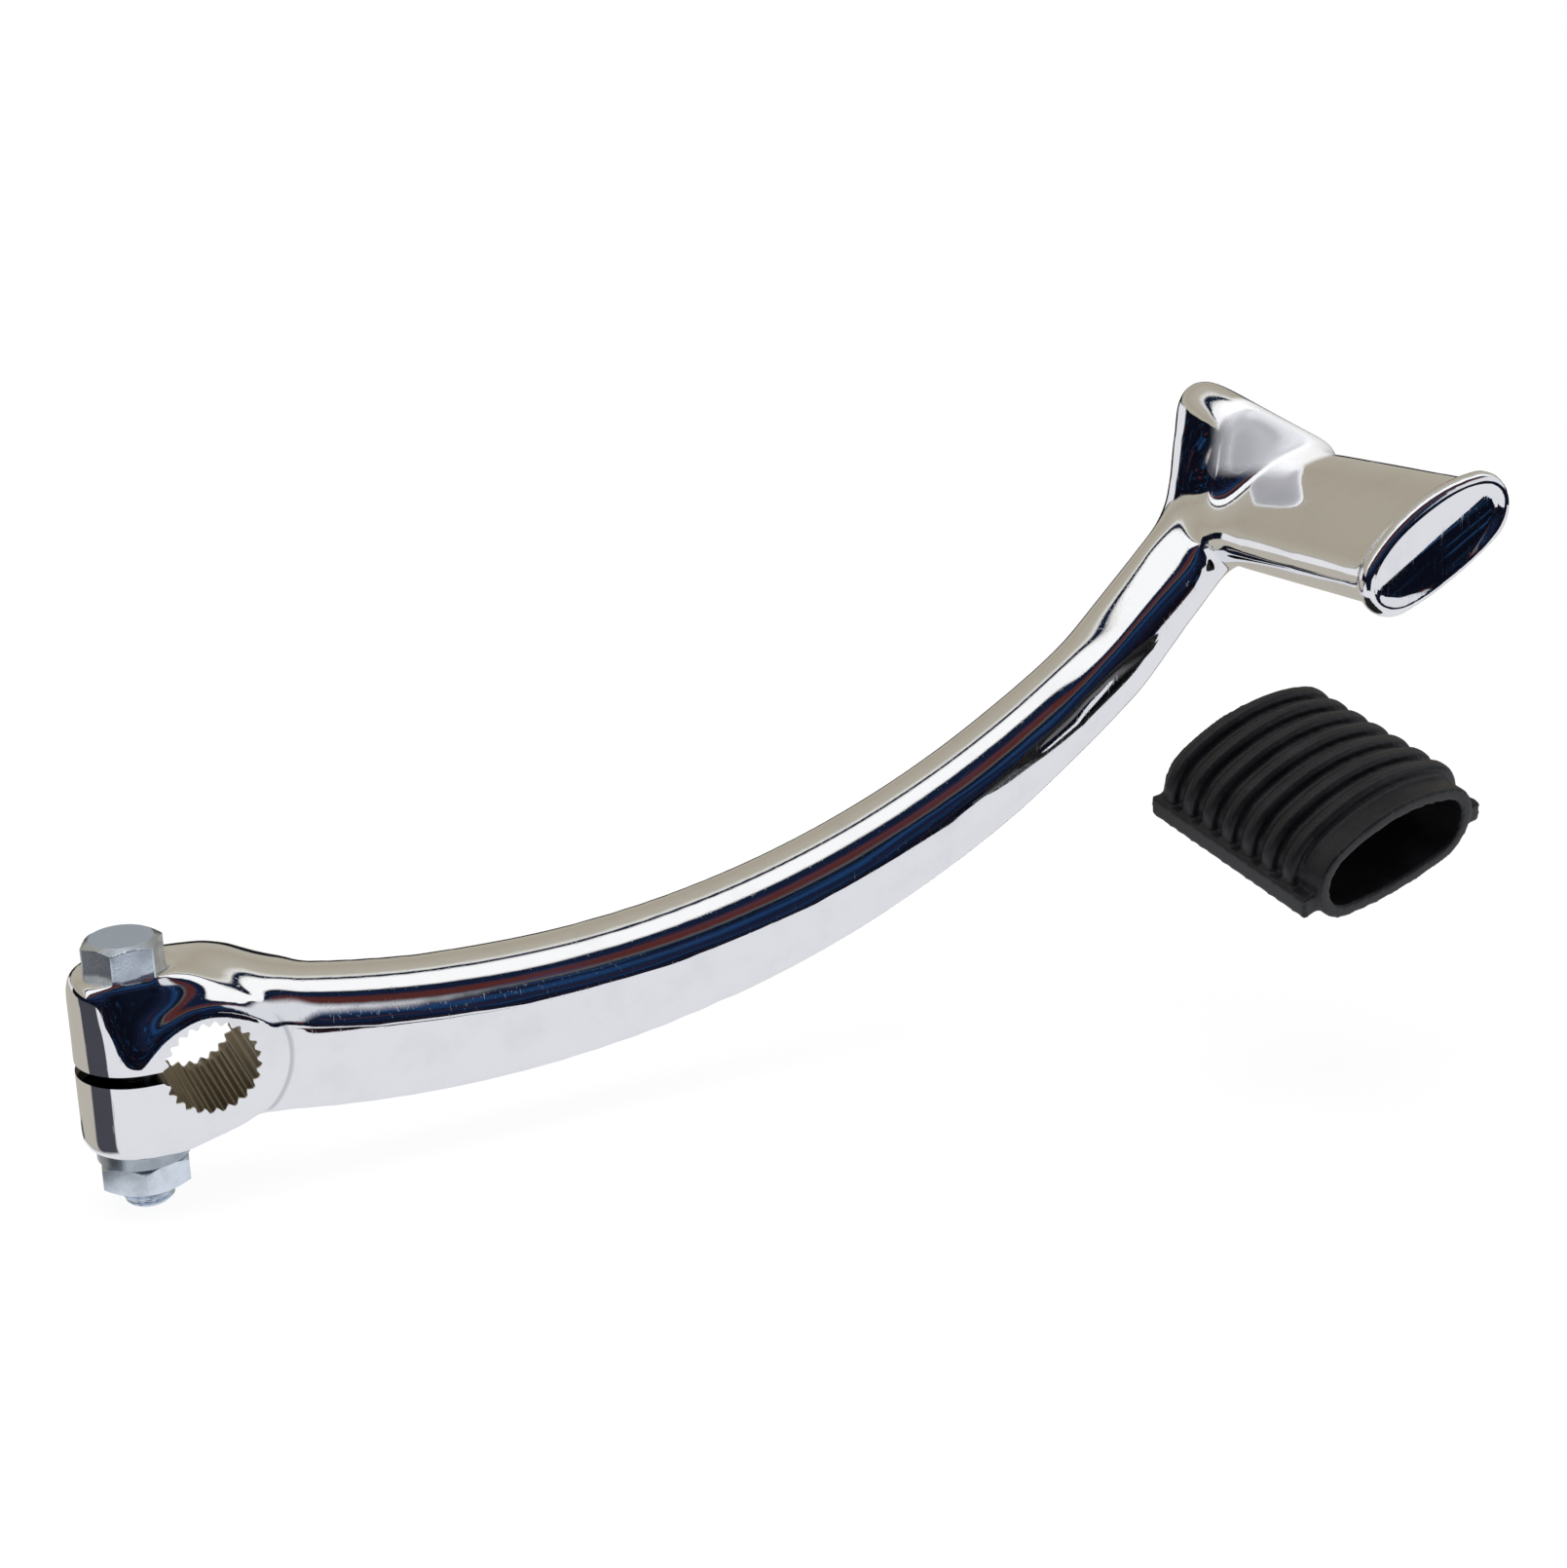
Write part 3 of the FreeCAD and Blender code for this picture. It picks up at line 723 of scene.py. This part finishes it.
def room_bands(tree):
    """What polished metal sees of the room: its dark near side, the light overhead and the warm far wall."""
    navy = (0.006, 0.012, 0.034)
    black = (0.003, 0.004, 0.009)
    blue = (0.012, 0.045, 0.13)
    brown = (0.085, 0.022, 0.018)
    white = (1.0, 1.0, 1.0)
    pearl = (0.80, 0.79, 0.76)
    beige = (0.46, 0.43, 0.36)
    sand = (0.40, 0.36, 0.29)
    grey = (0.09, 0.095, 0.10)
    way = tree.add("ShaderNodeTexCoord").out("Generated")
    x, y, z = tree.split(way)
    near = 0.0 - y
    sway = tree.noise(tree.stretch(way, (1.5, 1.5, 1.5)), 1.6, 2.0, 0.5)
    over = z.math("ARCTAN2", near) / math.pi + (sway - 0.5) * 0.03
    bands = tree.ramp(over, [
        (0.0, black), (0.05, navy), (0.10, navy), (0.14, blue), (0.17, navy), (0.20, black),
        (0.225, grey), (0.245, brown), (0.30, brown), (0.33, navy), (0.385, navy), (0.398, pearl),
        (0.41, white), (0.535, white), (0.552, pearl), (0.566, navy), (0.585, navy), (0.60, pearl),
        (0.64, beige), (0.80, sand), (0.92, beige), (0.945, black), (1.0, black),
    ])
    streak = tree.noise(tree.stretch(way, (2.2, 11.0, 11.0)), 2.0, 3.0, 0.6, 0.6)
    dark_side = 1.0 - over.step(0.33, 0.36)
    bands = tree.mix(streak.step(0.55, 0.72) * dark_side * 0.7, bands, (0.02, 0.075, 0.20, 1))
    bands = tree.mix((1.0 - streak).step(0.6, 0.75) * dark_side * 0.6, bands, (0.16, 0.045, 0.035, 1))
    turn = x.math("ARCTAN2", near)
    right_screen = turn.band(0.42, 0.54, 1.7, 2.0) * z.band(0.03, 0.09, 0.5, 0.65)
    bands = tree.mix(right_screen, bands, (0.72, 0.73, 0.77, 1))
    left_screen = turn.band(-2.95, -2.85, -2.30, -2.22) * z.band(-0.3, -0.25, 0.10, 0.18)
    return tree.mix(left_screen, bands, (0.80, 0.80, 0.82, 1))


def studio_world():
    """Soft white room that shows its bands to polished metal only."""
    world = bpy.data.worlds.new("studio")
    world.use_nodes = True
    bpy.context.scene.world = world
    tree = Tree(world.node_tree)
    path = tree.add("ShaderNodeLightPath")
    room = tree.mix(path.out("Is Glossy Ray"), (0.72, 0.73, 0.75, 1), room_bands(tree))
    seen = tree.mix(path.out("Is Camera Ray"), room, (1, 1, 1, 1))
    back = tree.add("ShaderNodeBackground", None, {"Color": seen, "Strength": 1.0}).out("Background")
    tree.add("ShaderNodeOutputWorld", None, {"Surface": back})


def paper_colour(tree, x, y):
    """Pale paper with a dark back edge and warm table beyond it; its left side is cut on a slant."""
    left = 1.0 - x.step(-32, -24)
    edge = y.step(PAPER_BACK, PAPER_BACK + 2)
    edge = edge.math("MAXIMUM", left * (y - x * 0.47).step(-1, 2))
    beyond = y.step(PAPER_BACK + 9, PAPER_BACK + 12) * (1.0 - left)
    beyond = beyond + left * (y + x * 0.32).step(-10, -6)
    colour = tree.mix(edge, (0.74, 0.75, 0.785, 1), (0.02, 0.02, 0.035, 1))
    return tree.mix(beyond, colour, (0.46, 0.43, 0.37, 1))


def paper_mask(x, y):
    """1 on the paper and the table behind it; the front edge steps forward under the pedal."""
    front = -115.0 - x.step(40, 110) * 90.0 - x.step(130, 150) * 415.0 + x.step(370, 385) * 350.0
    return (y - front).step(0, 1) * (1.0 - y.step(419, 420)) * x.band(-320, -319, 699, 700)


def studio_table():
    """Pale table top that keeps a soft trace of the shadow and lends polished metal its paper."""
    material, tree = new_material("pale_table")
    place = tree.place()
    x, y, z = tree.millimetres(place)
    colour = tree.mix(tree.noise(place, 14.0, 2.0), (0.86, 0.86, 0.88, 1), (0.90, 0.90, 0.92, 1))
    top = tree.add("ShaderNodeBsdfDiffuse", None, {"Color": colour}).out("BSDF")
    clear = tree.add("ShaderNodeBsdfTransparent").out("BSDF")
    path = tree.add("ShaderNodeLightPath")
    beside = x - TABLE_MIDDLE_X
    away = (beside * beside + y * y).math("SQRT")
    whitened = path.out("Is Camera Ray") * away.step(200, 330).span(0.93, 1.0)
    shown = tree.cover(whitened, top, tree.glow((1, 1, 1, 1)))
    shown = tree.cover(path.out("Is Glossy Ray") * 0.97, shown, tree.glow(paper_colour(tree, x, y)))
    shown = tree.cover(path.out("Is Glossy Ray") * (1.0 - paper_mask(x, y)), shown, clear)
    tree.add("ShaderNodeOutputMaterial", None, {"Surface": shown})
    corners = [(-3000, -2000), (3000, -2000), (3000, 3000), (-3000, 3000)]
    floor = link(prism("table", corners, "Z", TABLE_TOP - TABLE_THICKNESS, TABLE_TOP), "table")
    dress(floor, material)


def soft_lamp(name, place, target, size, watts):
    """Wide soft light that neither the camera nor polished metal sees."""
    lamp = bpy.data.lights.new(name, "AREA")
    lamp.shape = "RECTANGLE"
    lamp.size, lamp.size_y = size
    lamp.energy = watts
    holder = bpy.data.objects.new(name, lamp)
    bpy.context.scene.collection.objects.link(holder)
    holder.location = Vector(place) * MM
    aim = (Vector(target) - Vector(place)) * MM
    holder.rotation_mode = "QUATERNION"
    holder.rotation_quaternion = aim.to_track_quat("-Z", "Y")
    holder.visible_camera = False
    holder.visible_glossy = False


def photo_camera():
    """Camera at the photograph's viewing angle."""
    camera = bpy.data.cameras.new("photo_camera")
    camera.sensor_width = SENSOR_WIDTH
    camera.sensor_fit = "AUTO"
    camera.lens = SENSOR_WIDTH * FOCAL_PIXELS / PHOTO_SIDE
    camera.shift_y = -PIXELS_DOWN / PHOTO_SIDE
    camera.clip_start = 0.01
    camera.clip_end = 50.0
    holder = bpy.data.objects.new("photo_camera", camera)
    bpy.context.scene.collection.objects.link(holder)
    turn = Matrix((Vector(CAMERA_RIGHT), -Vector(CAMERA_DOWN), -Vector(CAMERA_FORWARD))).transposed()
    holder.matrix_world = Matrix.Translation(Vector(CAMERA_PLACE) * MM) @ turn.to_4x4()
    bpy.context.scene.camera = holder


# Dressed part

chrome = chrome_finish()
stand_for(forge_lever(), "lever_arm", chrome)
bolt_zinc = zinc_finish("bolt_zinc_plate", (0.74, 0.82, 0.92, 1), 0.4, HEAD_SEAT + HEAD_HEIGHT)
stand_for(cut_bolt(), "pinch_bolt", bolt_zinc)
soften("pinch_nut", 0.18)
dress(nodes["pinch_nut"], zinc_finish("nut_zinc_plate", (0.80, 0.87, 0.94, 1), 1.3))
soften("spring_washer", 0.2)
dress(nodes["spring_washer"], zinc_finish("washer_zinc_plate", (0.48, 0.53, 0.58, 1), 2.1))
mould_rubber()
dress(nodes["pedal_rubber"], rubber_finish())

# Stage

studio_world()
studio_table()
soft_lamp("overhead_lamp", (80, -40, 620), (90, -10, 10), (0.7, 0.5), 5.0)
photo_camera()
bpy.context.scene.view_settings.view_transform = "Standard"
